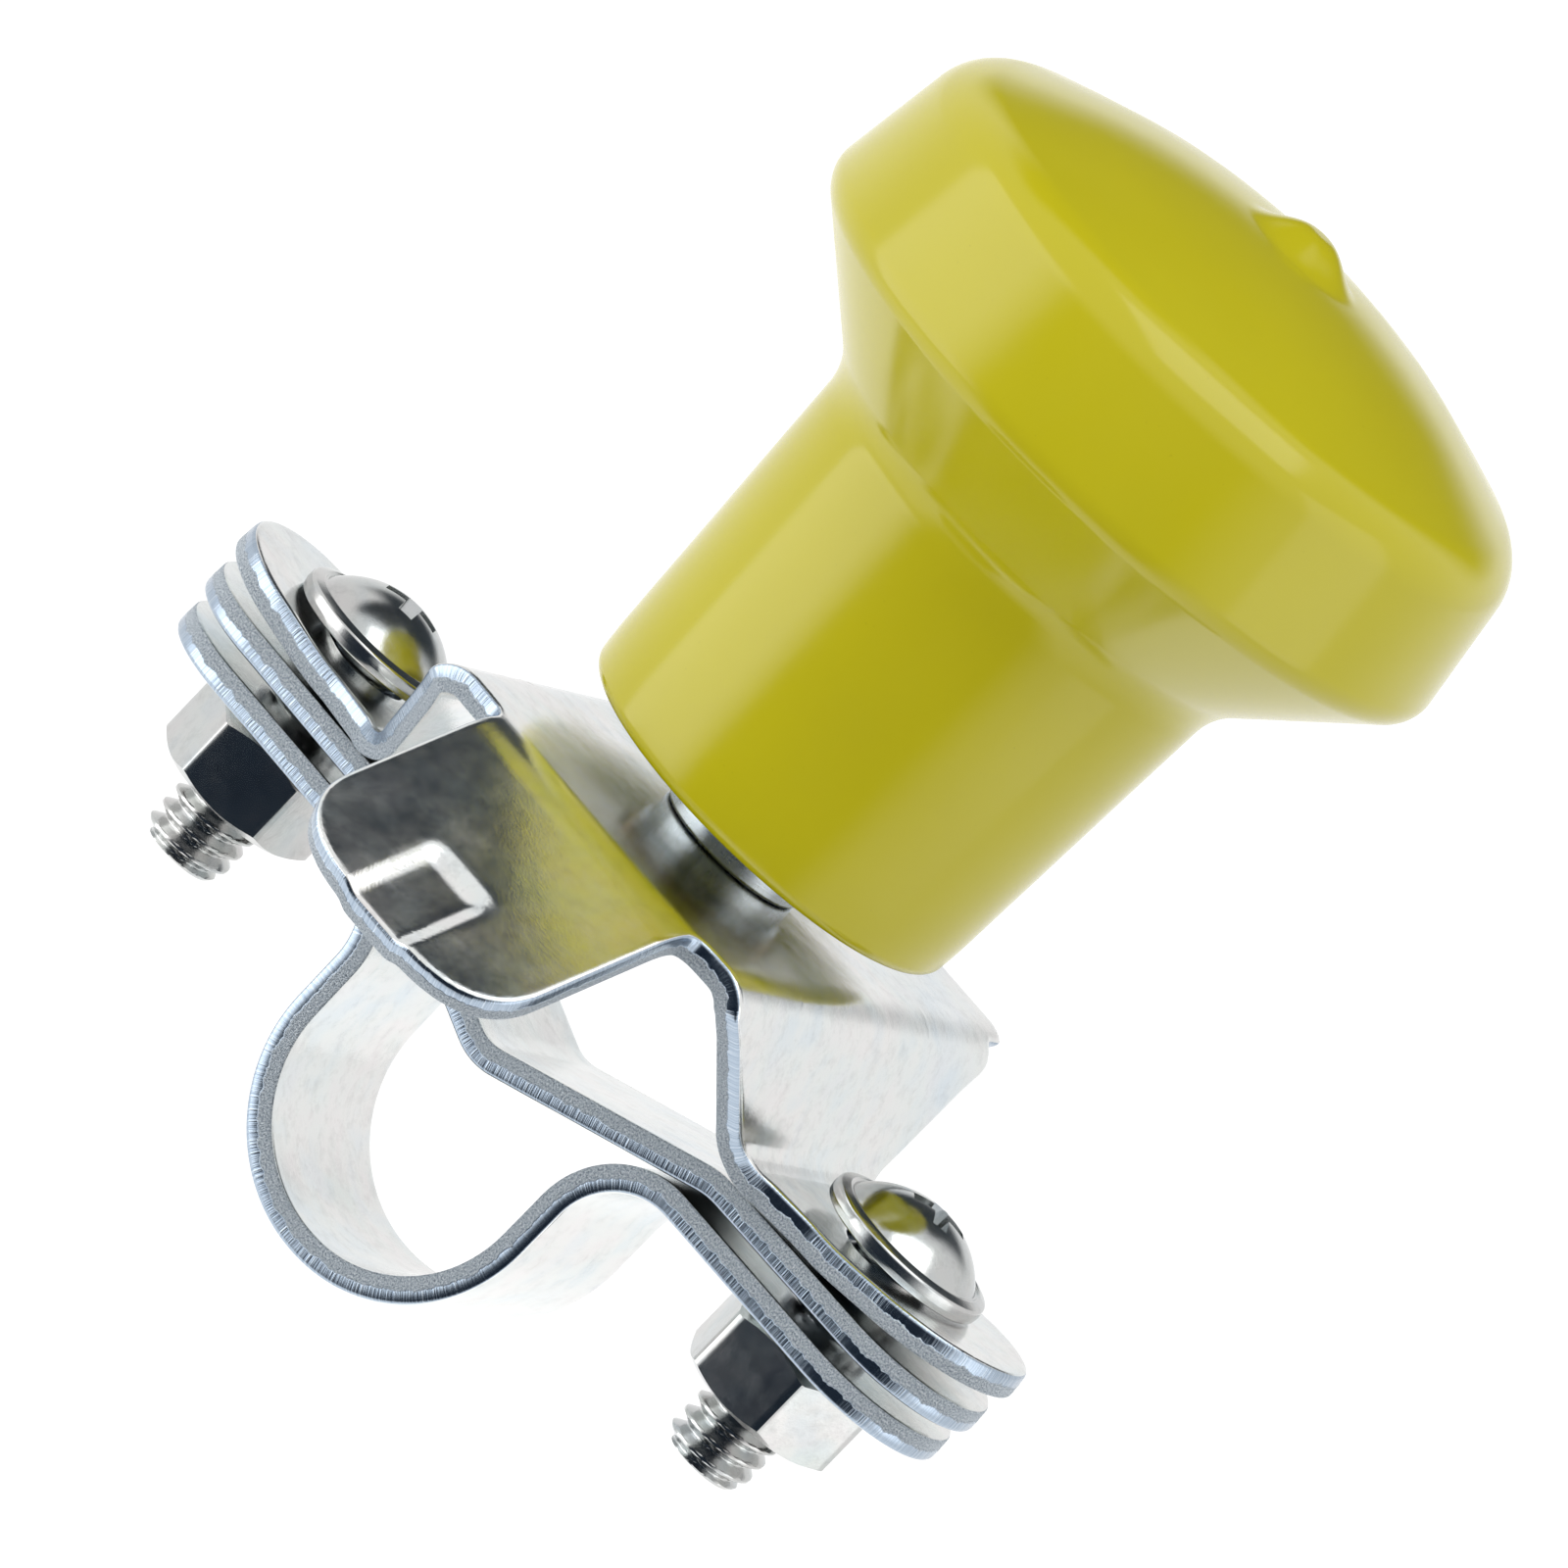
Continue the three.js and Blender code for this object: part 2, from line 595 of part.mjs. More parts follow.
const group = new THREE.Group();
function piece(name, body, look) {
  const mesh = new THREE.Mesh(geometryOf(body), new THREE.MeshStandardMaterial(look));
  mesh.name = name;
  group.add(mesh);
}

piece("bracket", bracket(), steel);
piece("upper_jaw", upperJaw(), steel);
piece("lower_jaw", lowerJaw(), steel);
piece("spindle", spindle(), bright);
piece("thrust_washer", thrustWasher(), steel);
piece("bushing", bushing(), brass);
piece("retaining_ring", retainingRing(), bright);
piece("knob", knob(), plastic);
piece("screw_left", screw(-screwX), bright);
piece("screw_right", screw(screwX), bright);
piece("nut_left", nut(-screwX, 0.32), bright);
piece("nut_right", nut(screwX, 0.02), bright);

export default group;
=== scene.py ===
"""Looks of a clamp-on steering-wheel spinner knob.

Every CAD node is replaced by a finer mesh built at the same place: sheets are bent from flat blanks
with die-rolled edges, turned parts are lathed, and the screws get real threads.
Lengths named in capitals are millimetres unless they say otherwise; meshes are made in metres.
"""
import math

import bmesh
import bpy
import numpy as np
from mathutils import Matrix, Vector


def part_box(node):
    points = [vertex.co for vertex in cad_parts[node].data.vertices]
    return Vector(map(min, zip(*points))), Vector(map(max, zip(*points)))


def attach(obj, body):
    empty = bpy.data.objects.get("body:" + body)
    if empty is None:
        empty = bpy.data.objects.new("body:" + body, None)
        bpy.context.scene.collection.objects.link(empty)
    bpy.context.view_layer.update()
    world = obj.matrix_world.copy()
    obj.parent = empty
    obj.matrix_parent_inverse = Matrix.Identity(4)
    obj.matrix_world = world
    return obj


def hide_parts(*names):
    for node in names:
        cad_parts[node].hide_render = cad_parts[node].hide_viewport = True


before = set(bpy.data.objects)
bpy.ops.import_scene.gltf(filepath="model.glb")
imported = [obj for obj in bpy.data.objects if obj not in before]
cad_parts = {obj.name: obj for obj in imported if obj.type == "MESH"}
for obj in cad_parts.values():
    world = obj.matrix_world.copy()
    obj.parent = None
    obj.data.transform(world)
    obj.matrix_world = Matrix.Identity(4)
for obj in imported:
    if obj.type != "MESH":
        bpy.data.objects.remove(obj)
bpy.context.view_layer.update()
MM = 0.001


def span(node, axis):
    """Lowest and highest coordinate of a CAD node along an axis, in millimetres."""
    low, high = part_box(node)
    return low[axis] / MM, high[axis] / MM


# ------------------------------------------------------------------ sizes, read from the frame
STRIP_HALF = span("lower_jaw", 1)[1]
EAR_END = span("bracket", 0)[1]
PLATE_TOP = span("bracket", 2)[1]
PLATE_BACK = span("bracket", 1)[1]
LOOP_BOTTOM = span("lower_jaw", 2)[0]
KNOB_BASE, KNOB_TOP = span("knob", 2)
SCREW_X = sum(span("screw_right", 0)) / 2
SCREW_TIP, SCREW_TOP = span("screw_right", 2)
NUT_BOTTOM, NUT_TOP = span("nut_right", 2)

# Sizes that a box can't tell.
SHEET = 1.9
HALF = SHEET / 2
HOLE_R = 3.5
MOUTH = 15.4
LOOP_W = 19.5
HUMP_R = 6.2
UPPER_RISE = 0.3
LOWER_RISE = 0.15
VEE_BEYOND = 0.9
PLATE_FRONT = 20.4
RISER_LEAN = 3.8
RISER_FOOT_X = 18.3
EAR_LIFT = 1.65
TAB_HALF = 9.9
TAB_SLOPE = math.radians(33)
TAB_LENGTH = 18.4
TAB_BEND_R = 7.0
TAB_X = 0.4
HAT_H = 10.2
RISER_FOOT_R = 3.1
PLATE_BEND_R = 2.4
EAR_LIFT_R = 24
NUB_LIFT = 1.6
HEAD_H = 3.9

# Channel pressed into the tab: half width, length, depth, and how far its walls take to rise.
CHANNEL_HALF = 3.2
CHANNEL_LENGTH = 8.2
CHANNEL_DEPTH = 0.42
CHANNEL_WALL = 1.3
CHANNEL_END_WALL = 1.5

UPPER_EAR = span("upper_jaw", 2)[1] - HALF - UPPER_RISE
LOWER_EAR = span("lower_jaw", 2)[1] - HALF - LOWER_RISE
BRACKET_EAR = PLATE_TOP - HAT_H - HALF
LOOP_R = LOOP_W / 2 + HALF


# ------------------------------------------------------------------ camera
AZIMUTH, ELEVATION, ROLL = (math.radians(a) for a in (20.8, 13.1, 43.9))
CAMERA_DISTANCE = 1.2         # metres
AIM = Vector((-0.0005, 0.0, (PLATE_TOP + 5.5) * MM))


def view_axes():
    """Right, up and backward axes of the camera, before and after its roll."""
    right = Vector((math.cos(AZIMUTH), math.sin(AZIMUTH), 0))
    ahead = Vector((
        -math.sin(AZIMUTH) * math.cos(ELEVATION),
        math.cos(AZIMUTH) * math.cos(ELEVATION),
        -math.sin(ELEVATION),
    ))
    up = right.cross(ahead)
    c, s = math.cos(ROLL), math.sin(ROLL)
    return right * c + up * s, up * c - right * s, -ahead


def make_camera():
    across, upward, back = view_axes()
    data = bpy.data.cameras.new("camera")
    data.sensor_width = 36
    data.lens = 430
    data.clip_start = 0.05
    camera = bpy.data.objects.new("camera", data)
    bpy.context.scene.collection.objects.link(camera)
    turn = Matrix((across, upward, back)).transposed().to_4x4()
    camera.matrix_world = Matrix.Translation(AIM + back * CAMERA_DISTANCE) @ turn
    bpy.context.scene.camera = camera


make_camera()


# ------------------------------------------------------------------ materials
def colour(r, g, b):
    """An sRGB colour from 0 to 255 as linear RGBA."""
    def line(v):
        v /= 255
        return v / 12.92 if v <= 0.04045 else ((v + 0.055) / 1.055) ** 2.4
    return line(r), line(g), line(b), 1.0


class Shader:
    """A material's node tree, with short ways to add and join nodes."""

    def __init__(self, name):
        self.material = bpy.data.materials.new(name)
        self.material.use_nodes = True
        self.tree = self.material.node_tree
        self.surface = self.tree.nodes["Principled BSDF"]

    def node(self, kind, **values):
        made = self.tree.nodes.new("ShaderNode" + kind)
        for key, value in values.items():
            if key in made.inputs:
                made.inputs[key].default_value = value
            else:
                setattr(made, key, value)
        return made

    def join(self, output, target):
        self.tree.links.new(output, target)

    def coordinates(self, scale):
        """Position in the row frame, stretched."""
        place = self.node("TexCoord")
        mapping = self.node("Mapping")
        mapping.inputs["Scale"].default_value = scale
        self.join(place.outputs["Object"], mapping.inputs["Vector"])
        return mapping.outputs["Vector"]

    def edge_coordinates(self, scale):
        """Distance along a cut edge in millimetres, and depth through the sheet from 0 to 1."""
        flat = self.node("UVMap", uv_map="flat")
        mapping = self.node("Mapping")
        mapping.inputs["Scale"].default_value = scale
        self.join(flat.outputs["UV"], mapping.inputs["Vector"])
        return mapping.outputs["Vector"]

    def noise(self, vector, scale, detail=2.0, roughness=0.5):
        made = self.node("TexNoise", Scale=scale, Detail=detail, Roughness=roughness)
        self.join(vector, made.inputs["Vector"])
        return made.outputs["Fac"]

    def ramp(self, value, stops):
        made = self.node("ValToRGB")
        made.color_ramp.elements[0].position = stops[0][0]
        made.color_ramp.elements[0].color = stops[0][1]
        made.color_ramp.elements[1].position = stops[-1][0]
        made.color_ramp.elements[1].color = stops[-1][1]
        for position, shade in stops[1:-1]:
            made.color_ramp.elements.new(position).color = shade
        self.join(value, made.inputs["Fac"])
        return made.outputs["Color"]

    def range(self, value, low, high, start=0.0, end=1.0):
        made = self.node("MapRange")
        made.inputs["From Min"].default_value = start
        made.inputs["From Max"].default_value = end
        made.inputs["To Min"].default_value = low
        made.inputs["To Max"].default_value = high
        self.join(value, made.inputs["Value"])
        return made.outputs["Result"]

    def mix(self, share, a, b, blend="MIX"):
        made = self.node("Mix", data_type="RGBA", blend_type=blend)
        for source, socket in ((share, made.inputs[0]), (a, made.inputs[6]), (b, made.inputs[7])):
            if isinstance(source, bpy.types.NodeSocket):
                self.join(source, socket)
            else:
                socket.default_value = source
        return made.outputs[2]

    def math(self, operation, a, b):
        made = self.node("Math", operation=operation)
        for source, socket in ((a, made.inputs[0]), (b, made.inputs[1])):
            if isinstance(source, bpy.types.NodeSocket):
                self.join(source, socket)
            else:
                socket.default_value = source
        return made.outputs[0]

    def bump(self, *layers):
        """Bumps one over another; a layer is (height, distance in metres, strength)."""
        normal = None
        for height, distance, strength in layers:
            made = self.node("Bump", Strength=strength, Distance=distance)
            self.join(height, made.inputs["Height"])
            if normal is not None:
                self.join(normal, made.inputs["Normal"])
            normal = made.outputs["Normal"]
        self.join(normal, self.surface.inputs["Normal"])


def zinc(name, rough_low, rough_high, grain, tone):
    """Bright blue-white zinc plate: near-white metal with a faint drift of hue and a fine grain."""
    s = Shader(name)
    place = s.coordinates((1, 1, 1))
    drift = s.noise(place, 95, 3, 0.6)
    base = s.ramp(drift, [
        (0.30, colour(224, 231, 235)), (0.48, colour(231, 235, 233)), (0.60, colour(235, 234, 232)),
        (0.75, colour(227, 234, 230)),
    ])
    film = s.noise(place, 330, 2, 0.5)
    tint = s.ramp(film, [
        (0.35, colour(206, 222, 236)), (0.50, colour(236, 237, 236)), (0.66, colour(238, 229, 233)),
    ])
    stain = s.noise(place, 900, 4, 0.7)
    shade = s.mix(0.20, base, tint)
    dull = s.range(stain, tone, tone * 0.86, 0.48, 0.74)
    s.join(s.mix(1.0, shade, dull, "MULTIPLY"), s.surface.inputs["Base Color"])
    s.surface.inputs["Metallic"].default_value = 1.0
    smear = s.noise(place, 260, 5, 0.65)
    s.join(s.range(smear, rough_low, rough_high, 0.3, 0.7), s.surface.inputs["Roughness"])
    fine = s.noise(place, 5200, 3, 0.6)
    broad = s.noise(place, 420, 2, 0.5)
    s.bump((broad, 0.00006, 0.25), (fine, 0.00002, grain))
    return s.material


def cut_edge(name):
    """Sheared edge of a plated sheet: a smooth burnished band, then a pale grainy torn one."""
    s = Shader(name)
    streak = s.noise(s.edge_coordinates((5.2, 0.25, 1)), 1.0, 3, 0.6)
    speck = s.noise(s.edge_coordinates((7.5, 13.0, 1)), 1.0, 4, 0.75)
    wander = s.noise(s.edge_coordinates((0.8, 0.0, 1)), 1.0, 3, 0.6)
    flat = s.node("UVMap", uv_map="flat")
    split = s.node("SeparateXYZ")
    s.join(flat.outputs["UV"], split.inputs["Vector"])
    depth = s.math("ADD", split.outputs["Y"], s.range(wander, -0.10, 0.10, 0.3, 0.7))
    torn = s.range(depth, 0.0, 1.0, 0.46, 0.52)
    burnished = s.ramp(streak, [
        (0.30, colour(138, 154, 172)), (0.55, colour(168, 181, 195)), (0.75, colour(205, 213, 220)),
    ])
    ripped = s.ramp(speck, [
        (0.32, colour(92, 101, 112)), (0.48, colour(160, 169, 177)), (0.66, colour(214, 219, 222)),
    ])
    s.join(s.mix(torn, burnished, ripped), s.surface.inputs["Base Color"])
    s.surface.inputs["Metallic"].default_value = 1.0
    s.join(s.range(torn, 0.20, 0.52), s.surface.inputs["Roughness"])
    rough_part = s.math("MULTIPLY", speck, torn)
    s.bump((streak, 0.00009, 0.34), (rough_part, 0.00016, 0.95))
    return s.material


def turned_metal(name, shade, rough, ring_scale):
    """Turned metal with fine tool rings along its axis."""
    s = Shader(name)
    rings = s.noise(s.coordinates((0.02, 0.02, 1)), ring_scale, 3, 0.7)
    blotch = s.noise(s.coordinates((1, 1, 1)), 700, 3, 0.6)
    dark = tuple(v * 0.72 for v in shade[:3]) + (1.0,)
    s.join(s.ramp(blotch, [(0.3, dark), (0.7, shade)]), s.surface.inputs["Base Color"])
    s.surface.inputs["Metallic"].default_value = 1.0
    s.join(s.range(blotch, rough * 0.8, rough * 1.4, 0.3, 0.7), s.surface.inputs["Roughness"])
    s.bump((rings, 0.00003, 0.5))
    return s.material


def yellow_plastic(name):
    """Glossy moulded plastic: even colour, slight mould waviness and dust-fine specks."""
    s = Shader(name)
    place = s.coordinates((1, 1, 1))
    cloud = s.noise(place, 45, 2, 0.5)
    base = s.ramp(cloud, [(0.3, colour(195, 185, 19)), (0.7, colour(202, 192, 25))])
    speck = s.noise(place, 3400, 2, 0.6)
    spots = s.range(speck, 1.0, 0.86, 0.72, 0.80)
    s.join(s.mix(1.0, base, spots, "MULTIPLY"), s.surface.inputs["Base Color"])
    s.surface.inputs["IOR"].default_value = 1.49
    s.surface.inputs["Subsurface Weight"].default_value = 0.08
    s.surface.inputs["Subsurface Radius"].default_value = (0.004, 0.003, 0.001)
    s.surface.inputs["Subsurface Scale"].default_value = 0.5
    haze = s.noise(place, 150, 4, 0.6)
    s.join(s.range(haze, 0.13, 0.19, 0.3, 0.7), s.surface.inputs["Roughness"])
    wave = s.noise(place, 75, 1, 0.4)
    pore = s.noise(place, 2600, 2, 0.5)
    s.bump((wave, 0.00035, 0.10), (pore, 0.00001, 0.12))
    return s.material


ZINC_SHEET = zinc("zinc_sheet", 0.13, 0.23, 0.22, 0.94)
ZINC_BOLT = zinc("zinc_hardware", 0.13, 0.24, 0.18, 0.66)
EDGE = cut_edge("cut_edge")
TURNED = turned_metal("turned_steel", colour(196, 203, 208), 0.24, 9000)
BRASS = turned_metal("turned_brass", colour(190, 158, 96), 0.30, 7000)
YELLOW = yellow_plastic("yellow_plastic")


# ------------------------------------------------------------------ paths and outlines
def arc(centre, radius, start, turn, step):
    """Points along an arc, both ends included."""
    count = max(2, math.ceil(abs(turn) / step))
    angles = [start + turn * k / count for k in range(count + 1)]
    return [(centre[0] + radius * math.cos(a), centre[1] + radius * math.sin(a)) for a in angles]


def rounded(corners, step=4.0, closed=False):
    """Polyline through corners (x, y, radius), each corner rounded by an arc of that radius."""
    points = []
    count = len(corners)
    for i, (x, y, radius) in enumerate(corners):
        if not radius or (not closed and i in (0, count - 1)):
            points.append((x, y))
            continue
        corner = Vector((x, y))
        before = (Vector(corners[i - 1][:2]) - corner).normalized()
        after = (Vector(corners[(i + 1) % count][:2]) - corner).normalized()
        half = math.acos(max(-1.0, min(1.0, before.dot(after)))) / 2
        reach = radius / math.tan(half)
        centre = corner + (before + after).normalized() * (radius / math.sin(half))
        first = corner + before * reach - centre
        last = corner + after * reach - centre
        start = math.atan2(first.y, first.x)
        turn = math.atan2(last.y, last.x) - start
        turn = (turn + math.pi) % (2 * math.pi) - math.pi
        points += arc(centre, radius, start, turn, math.radians(step))
    return points


def mirrored(right):
    """The right half of a path, mirrored and joined into the whole."""
    left = [(-x, z, r) for x, z, r in right]
    tail = right[::-1]
    return left + (tail[1:] if tail[0][0] == 0 else tail)


class Bend:
    """Centre line of a bent sheet, measured along its length from its middle."""

    def __init__(self, corners):
        self.points = np.array(rounded(corners, 1.5))
        steps = np.linalg.norm(np.diff(self.points, axis=0), axis=1)
        self.length = np.concatenate([[0], np.cumsum(steps)])
        self.half = self.length[-1] / 2
        tangent = np.gradient(self.points, self.length, axis=0)
        self.tangent = tangent / np.linalg.norm(tangent, axis=1)[:, None]

    def at(self, along, lift):
        """Points at a distance along the line and a height above it."""
        s = along + self.half
        spot = [np.interp(s, self.length, self.points[:, k]) for k in (0, 1)]
        run = [np.interp(s, self.length, self.tangent[:, k]) for k in (0, 1)]
        size = np.hypot(*run)
        return spot[0] - run[1] / size * lift, spot[1] + run[0] / size * lift

    def where(self, axis, value):
        """Distance along the right half at which the line has this x or z."""
        right = self.points[:, 0] >= 0
        line = self.points[right, axis]
        order = np.argsort(line)
        return float(np.interp(value, line[order], (self.length[right] - self.half)[order]))


def resample(points, step):
    """Closed outline with its points at even distances, corners kept by the fine step."""
    loop = np.array(points + [points[0]])
    steps = np.linalg.norm(np.diff(loop, axis=0), axis=1)
    length = np.concatenate([[0], np.cumsum(steps)])
    count = max(24, int(length[-1] / step))
    even = np.linspace(0, length[-1], count, endpoint=False)
    return np.column_stack([np.interp(even, length, loop[:, k]) for k in (0, 1)])


# Section of a sheared edge: inset from the outline and height as a share of the thickness.
# A rounded die roll comes first, then the burnished band, the torn band and a small burr side.
EDGE_SECTION = [
    (0.62, 0.5), (0.40, 0.5), (0.24, 0.488), (0.11, 0.455), (0.03, 0.395), (0.0, 0.31),
    (0.0, 0.02), (0.025, -0.06), (0.035, -0.30), (0.06, -0.43), (0.13, -0.485), (0.24, -0.5), (0.5, -0.5),
]


def blank(outlines, roll_up, x_cuts, y_cuts):
    """Flat sheet with sheared edges, sliced so that it can be bent. outlines: outer, then holes."""
    bm = bmesh.new()
    uv = bm.loops.layers.uv.new("flat")
    side = 1 if roll_up else -1
    caps = [[], []]
    for number, points in enumerate(outlines):
        loop = resample(points, 0.34)
        ahead = np.roll(loop, -1, axis=0) - np.roll(loop, 1, axis=0)
        outward = np.column_stack([ahead[:, 1], -ahead[:, 0]])
        outward /= np.linalg.norm(outward, axis=1)[:, None]
        area = np.sum(loop[:, 0] * np.roll(loop[:, 1], -1) - loop[:, 1] * np.roll(loop[:, 0], -1))
        if (area > 0) == (number > 0):
            outward = -outward
        rings = []
        for inset, height in EDGE_SECTION:
            ring = loop - outward * inset
            rings.append([bm.verts.new((x, y, side * height * SHEET)) for x, y in ring])
        gap = float(np.linalg.norm(loop[1] - loop[0]))
        count = len(loop)
        for k, (upper, lower) in enumerate(zip(rings, rings[1:])):
            cut = 1 <= k < len(rings) - 2
            depth = (0.5 - EDGE_SECTION[k][1], 0.5 - EDGE_SECTION[k + 1][1])
            for i in range(count):
                j = (i + 1) % count
                face = bm.faces.new((upper[i], upper[j], lower[j], lower[i]))
                face.material_index = 1 if cut and abs(EDGE_SECTION[k][1]) < 0.48 else 0
                corners = ((i, 0), (i + 1, 0), (i + 1, 1), (i, 1))
                for corner, (place, row) in zip(face.loops, corners):
                    corner[uv].uv = (place * gap, depth[row])
        for cap, ring in zip(caps, (rings[0], rings[-1])):
            cap += [bm.edges.get((ring[i], ring[(i + 1) % count])) for i in range(count)]
    for cap in caps:
        bmesh.ops.triangle_fill(bm, use_beauty=True, edges=cap, normal=(0, 0, 1))
    bmesh.ops.recalc_face_normals(bm, faces=bm.faces[:])
    for axis, cuts in ((0, x_cuts), (1, y_cuts)):
        for value in cuts:
            point = (value, 0, 0) if axis == 0 else (0, value, 0)
            normal = (1, 0, 0) if axis == 0 else (0, 1, 0)
            whole = bm.verts[:] + bm.edges[:] + bm.faces[:]
            bmesh.ops.bisect_plane(bm, geom=whole, plane_co=point, plane_no=normal, dist=1e-5)
    return bm


def bent(bm, move):
    """Moves every vertex of a flat blank; move takes and returns arrays of x, y and z."""
    flat = np.array([v.co for v in bm.verts])
    moved = move(flat[:, 0], flat[:, 1], flat[:, 2])
    for vertex, spot in zip(bm.verts, np.column_stack(moved) * MM):
        vertex.co = spot
    return bm


def piece(name, source, materials, body, sharp=32.0):
    """Turns a mesh into a piece that stands for the CAD node of the same name."""
    mesh = bpy.data.meshes.new(name + "_visual")
    if isinstance(source, bmesh.types.BMesh):
        bmesh.ops.recalc_face_normals(source, faces=source.faces[:])
        source.to_mesh(mesh)
        source.free()
    for material in materials:
        mesh.materials.append(material)
    mesh.polygons.foreach_set("use_smooth", [True] * len(mesh.polygons))
    mesh.set_sharp_from_angle(angle=math.radians(sharp))
    made = bpy.data.objects.new(name + "_visual", mesh)
    bpy.context.scene.collection.objects.link(made)
    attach(made, body)
    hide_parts(name)
    return made


# ------------------------------------------------------------------ stamped sheets
def circle(x, y, radius, count=72):
    return [
        (x + radius * math.cos(2 * math.pi * k / count), y + radius * math.sin(2 * math.pi * k / count))
        for k in range(count)
    ]


def strip_outline(end):
    """Strip with half-round ends."""
    centre = end - STRIP_HALF
    right = arc((centre, 0), STRIP_HALF, -math.pi / 2, math.pi, math.radians(3))
    return right + [(-x, -y) for x, y in right]


def slices(limit, step):
    return list(np.arange(-limit + step / 2, limit, step))


def jaw(name, corners, body, end_trim):
    line = Bend(corners)
    hole = line.where(0, SCREW_X)
    outlines = [strip_outline(line.half - end_trim), circle(hole, 0, HOLE_R), circle(-hole, 0, HOLE_R)]
    bm = blank(outlines, False, slices(line.half, 0.45), [])

    def move(u, v, w):
        x, z = line.at(u, w)
        return x, v, z

    return piece(name, bent(bm, move), [ZINC_SHEET, EDGE], body)


def upper_jaw():
    foot = LOOP_R + HUMP_R + VEE_BEYOND
    bottom = MOUTH / 2
    slope = math.atan2(UPPER_EAR - HALF - bottom, foot)
    bend_r = 4.0
    centre = bottom + HALF / math.cos(slope) - bend_r * (1 / math.cos(slope) - 1)
    jaw("upper_jaw", mirrored([
        (EAR_END, UPPER_EAR + UPPER_RISE, 0), (foot, UPPER_EAR, 6.0), (0, centre, bend_r),
    ]), "bracket", 0.3)


def lower_jaw():
    bottom = LOOP_BOTTOM + HALF
    jaw("lower_jaw", mirrored([
        (EAR_END, LOWER_EAR + LOWER_RISE, 0), (LOOP_R + 0.15, LOWER_EAR, HUMP_R),
        (LOOP_R, bottom, LOOP_R - 0.01),
    ]), "lower_jaw", 0.8)


def bracket():
    plate_z = PLATE_TOP - HALF
    bend_line = RISER_FOOT_X - RISER_LEAN
    line = Bend(mirrored([
        (EAR_END, BRACKET_EAR + EAR_LIFT, 0), (SCREW_X - 0.9, BRACKET_EAR + 0.05, EAR_LIFT_R),
        (RISER_FOOT_X, BRACKET_EAR, RISER_FOOT_R), (bend_line, plate_z, PLATE_BEND_R),
    ]))
    hole = line.where(0, SCREW_X)
    waist = line.where(0, SCREW_X - 3.0)
    foot = line.where(0, SCREW_X - 6.4)
    knee = bend_line + 2.9
    sill = bend_line + 0.9
    end = line.half - STRIP_HALF
    notch = bend_line - 0.3
    tab_low, tab_high = TAB_X - TAB_HALF, TAB_X + TAB_HALF
    tab_flat = TAB_BEND_R * TAB_SLOPE + TAB_LENGTH - TAB_BEND_R * math.tan(TAB_SLOPE / 2)

    # Anticlockwise from the right ear, in the flat.
    back_right = [
        (waist, STRIP_HALF, 3.0), (foot, STRIP_HALF + 0.8, 1.0), (foot - 2.2, 9.9, 2.0),
        (knee, 17.6, 3.0), (sill, 20.0, 1.2), (notch, 20.0, 0.4), (notch, PLATE_BACK, 0.5),
    ]
    front_left = [
        (-x, -y, r) for x, y, r in back_right[:-2]
    ] + [(-notch, -PLATE_FRONT + 0.25, 0.9), (tab_low - 1.2, -PLATE_FRONT, 0.6)]
    round_end = []
    for k in range(41):
        a = math.pi + math.pi * k / 40
        c, s = math.cos(a), -math.sin(a)
        round_end.append((
            TAB_X + TAB_HALF * math.copysign(abs(c) ** 0.62, c),
            -PLATE_FRONT - tab_flat + 6.4 - 6.4 * s ** 0.86,
            0,
        ))
    front_right = [(tab_high + 1.2, -PLATE_FRONT, 0.6), (notch, -PLATE_FRONT + 0.25, 0.9)] + [
        (x, -y, r) for x, y, r in back_right[:-2]
    ][::-1]
    back_left = [(-x, y, r) for x, y, r in back_right][::-1]

    ear_right = arc((end, 0), STRIP_HALF, -math.pi / 2, math.pi, math.radians(3))
    ear_left = [(-x, -y) for x, y in ear_right]
    body = [(x, y, 0) for x, y in ear_right] + back_right + back_left
    body += [(x, y, 0) for x, y in ear_left] + front_left
    body += [(tab_low, -PLATE_FRONT - 0.3, 1.4), (tab_low, -PLATE_FRONT - 3, 0)]
    body += round_end
    body += [(tab_high, -PLATE_FRONT - 3, 0), (tab_high, -PLATE_FRONT - 0.3, 1.4)] + front_right
    outer = rounded(body, 6.0, closed=True)
    holes = [circle(hole, 0, HOLE_R), circle(-hole, 0, HOLE_R), circle(0, 0, HOLE_R)]

    x_cuts = slices(line.half, 0.5)
    y_cuts = list(np.arange(-PLATE_FRONT - tab_flat, -PLATE_FRONT + 1, 0.4)) + [-10, 0, 10]
    bm = blank([outer] + holes, True, x_cuts, y_cuts)
    tab_line = Bend([
        (-60.0, 0.0, 0), (0.0, 0.0, TAB_BEND_R),
        (60 * math.cos(TAB_SLOPE), -60 * math.sin(TAB_SLOPE), 0),
    ])
    reach = TAB_BEND_R * math.tan(TAB_SLOPE / 2)
    arc_start = 60 - reach - tab_line.half

    def smooth(t):
        t = np.clip(t, 0, 1)
        return t * t * (3 - 2 * t)

    def move(u, v, w):
        # channel pressed down into the tab's end, open at the end
        tip = v + PLATE_FRONT + tab_flat
        across = smooth((CHANNEL_HALF - np.abs(u - TAB_X)) / CHANNEL_WALL)
        inward = smooth((CHANNEL_LENGTH - tip) / CHANNEL_END_WALL)
        w = w - CHANNEL_DEPTH * (across * inward) * (v < -PLATE_FRONT)
        x, z = line.at(u, w)
        y = v.copy()
        down = v < -PLATE_FRONT
        run, drop = tab_line.at(-(v + PLATE_FRONT) + arc_start, w)
        y[down] = -(run[down] + PLATE_FRONT + reach)
        z[down] = plate_z + drop[down]
        x[down] = u[down]
        return x, y, z

